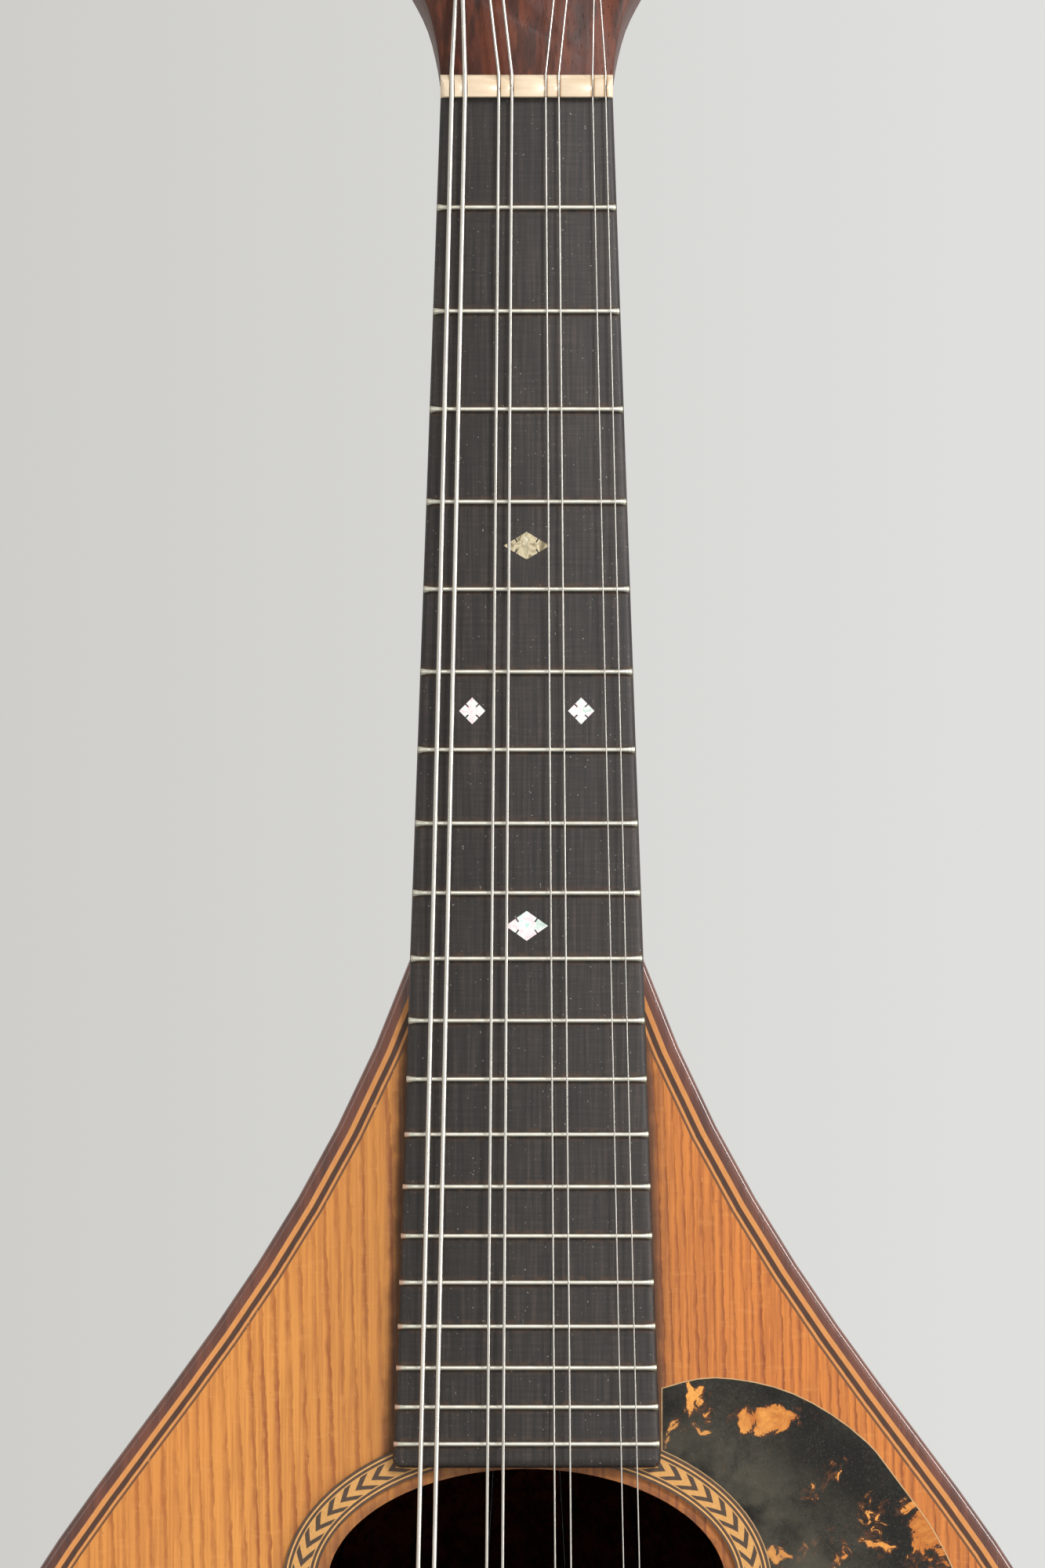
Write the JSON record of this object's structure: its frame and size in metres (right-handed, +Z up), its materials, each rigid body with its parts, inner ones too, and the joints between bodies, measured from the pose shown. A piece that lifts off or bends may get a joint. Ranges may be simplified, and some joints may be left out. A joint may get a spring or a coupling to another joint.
{
  "type": "bouzouki",
  "caption": "Short-scale bowl-back bouzouki with paired courses, an oval sound hole, a bound spruce top and geared tuners that turn their string posts.",
  "frame": {"origin": "centre of the end pin's knob at the tail, where a strap loops on", "axes": "+Z up the neck towards the head, -Y out of the soundboard, +X towards the treble strings"},
  "size_m": [0.234, 0.1605, 0.6351],
  "materials": {
    "neck_wood": "oiled mahogany-coloured wood",
    "rosewood": "glossy French-polished rosewood",
    "ebony": "worn satin ebony",
    "bone": "polished bone",
    "fret_wire": "worn nickel silver",
    "pearl": "mother of pearl",
    "spruce": "aged amber spruce under thin varnish",
    "inner_spruce": "bare spruce",
    "purfling_wood": "pale and dark wood lines",
    "rosette_wood": "herringbone marquetry",
    "tortoise": "dark mottled shell pattern",
    "nickel_plate": "nickel plate",
    "brass_plate": "lacquered brass",
    "screw_steel": "plated steel",
    "string_steel": "steel wire",
    "tuner_steel": "plated steel",
    "button_plastic": "cream plastic"
  },
  "bodies": {
    "body": {"neck": "neck_wood", "headstock": "neck_wood", "headplate": "rosewood", "fingerboard": "ebony", "nut": "bone", "frets": "fret_wire", "inlays": "pearl", "soundboard": "spruce", "braces": "inner_spruce", "head_block": "inner_spruce", "tail_block": "inner_spruce", "linings": "inner_spruce", "bowl_staves": "rosewood", "tail_clasp": "rosewood", "binding": "rosewood", "purfling": "purfling_wood", "rosette_band": "rosette_wood", "rosette_lines": "purfling_wood", "pickguard": "tortoise", "bridge": "ebony", "saddle": "bone", "tailpiece": "nickel_plate", "tailpiece_cover": "nickel_plate", "end_pin": "ebony", "tuner_plates": "brass_plate", "screws": "screw_steel", "bushings": "brass_plate", "strings": "string_steel"},
    "button_1": {"worm_1": "tuner_steel", "button_1": "button_plastic"},
    "post_1": {"post_1": "tuner_steel", "gear_1": "brass_plate"},
    "button_2": {"worm_2": "tuner_steel", "button_2": "button_plastic"},
    "post_2": {"post_2": "tuner_steel", "gear_2": "brass_plate"},
    "button_3": {"worm_3": "tuner_steel", "button_3": "button_plastic"},
    "post_3": {"post_3": "tuner_steel", "gear_3": "brass_plate"},
    "button_4": {"worm_4": "tuner_steel", "button_4": "button_plastic"},
    "post_4": {"post_4": "tuner_steel", "gear_4": "brass_plate"},
    "button_5": {"worm_5": "tuner_steel", "button_5": "button_plastic"},
    "post_5": {"post_5": "tuner_steel", "gear_5": "brass_plate"},
    "button_6": {"worm_6": "tuner_steel", "button_6": "button_plastic"},
    "post_6": {"post_6": "tuner_steel", "gear_6": "brass_plate"},
    "button_7": {"worm_7": "tuner_steel", "button_7": "button_plastic"},
    "post_7": {"post_7": "tuner_steel", "gear_7": "brass_plate"},
    "button_8": {"worm_8": "tuner_steel", "button_8": "button_plastic"},
    "post_8": {"post_8": "tuner_steel", "gear_8": "brass_plate"}
  },
  "joints": [
    {"name": "button_turn_1", "type": "hinge", "parent": "body", "child": "button_1", "pos_m": [-0.0158, 0.00144, 0.5411], "axis": [1, 0, 0], "continuous": true},
    {"name": "post_turn_1", "type": "hinge", "parent": "body", "child": "post_1", "pos_m": [-0.0158, -0.01797, 0.53781], "axis": [0, -0.9781, 0.2079], "continuous": true},
    {"name": "button_turn_2", "type": "hinge", "parent": "body", "child": "button_2", "pos_m": [-0.0158, 0.00622, 0.5636], "axis": [1, 0, 0], "continuous": true},
    {"name": "post_turn_2", "type": "hinge", "parent": "body", "child": "post_2", "pos_m": [-0.0158, -0.01319, 0.56031], "axis": [0, -0.9781, 0.2079], "continuous": true},
    {"name": "button_turn_3", "type": "hinge", "parent": "body", "child": "button_3", "pos_m": [-0.0158, 0.011, 0.5861], "axis": [1, 0, 0], "continuous": true},
    {"name": "post_turn_3", "type": "hinge", "parent": "body", "child": "post_3", "pos_m": [-0.0158, -0.00841, 0.58281], "axis": [0, -0.9781, 0.2079], "continuous": true},
    {"name": "button_turn_4", "type": "hinge", "parent": "body", "child": "button_4", "pos_m": [-0.0158, 0.01578, 0.60859], "axis": [1, 0, 0], "continuous": true},
    {"name": "post_turn_4", "type": "hinge", "parent": "body", "child": "post_4", "pos_m": [-0.0158, -0.00363, 0.60531], "axis": [0, -0.9781, 0.2079], "continuous": true},
    {"name": "button_turn_5", "type": "hinge", "parent": "body", "child": "button_5", "pos_m": [0.0158, 0.00144, 0.5411], "axis": [1, 0, 0], "continuous": true},
    {"name": "post_turn_5", "type": "hinge", "parent": "body", "child": "post_5", "pos_m": [0.0158, -0.01797, 0.53781], "axis": [0, -0.9781, 0.2079], "continuous": true},
    {"name": "button_turn_6", "type": "hinge", "parent": "body", "child": "button_6", "pos_m": [0.0158, 0.00622, 0.5636], "axis": [1, 0, 0], "continuous": true},
    {"name": "post_turn_6", "type": "hinge", "parent": "body", "child": "post_6", "pos_m": [0.0158, -0.01319, 0.56031], "axis": [0, -0.9781, 0.2079], "continuous": true},
    {"name": "button_turn_7", "type": "hinge", "parent": "body", "child": "button_7", "pos_m": [0.0158, 0.011, 0.5861], "axis": [1, 0, 0], "continuous": true},
    {"name": "post_turn_7", "type": "hinge", "parent": "body", "child": "post_7", "pos_m": [0.0158, -0.00841, 0.58281], "axis": [0, -0.9781, 0.2079], "continuous": true},
    {"name": "button_turn_8", "type": "hinge", "parent": "body", "child": "button_8", "pos_m": [0.0158, 0.01578, 0.60859], "axis": [1, 0, 0], "continuous": true},
    {"name": "post_turn_8", "type": "hinge", "parent": "body", "child": "post_8", "pos_m": [0.0158, -0.00363, 0.60531], "axis": [0, -0.9781, 0.2079], "continuous": true}
  ],
  "couplings": [
    {"joint": "post_turn_1", "follows": "button_turn_1", "ratio": -0.071429},
    {"joint": "post_turn_2", "follows": "button_turn_2", "ratio": -0.071429},
    {"joint": "post_turn_3", "follows": "button_turn_3", "ratio": -0.071429},
    {"joint": "post_turn_4", "follows": "button_turn_4", "ratio": -0.071429},
    {"joint": "post_turn_5", "follows": "button_turn_5", "ratio": 0.071429},
    {"joint": "post_turn_6", "follows": "button_turn_6", "ratio": 0.071429},
    {"joint": "post_turn_7", "follows": "button_turn_7", "ratio": 0.071429},
    {"joint": "post_turn_8", "follows": "button_turn_8", "ratio": 0.071429}
  ]
}
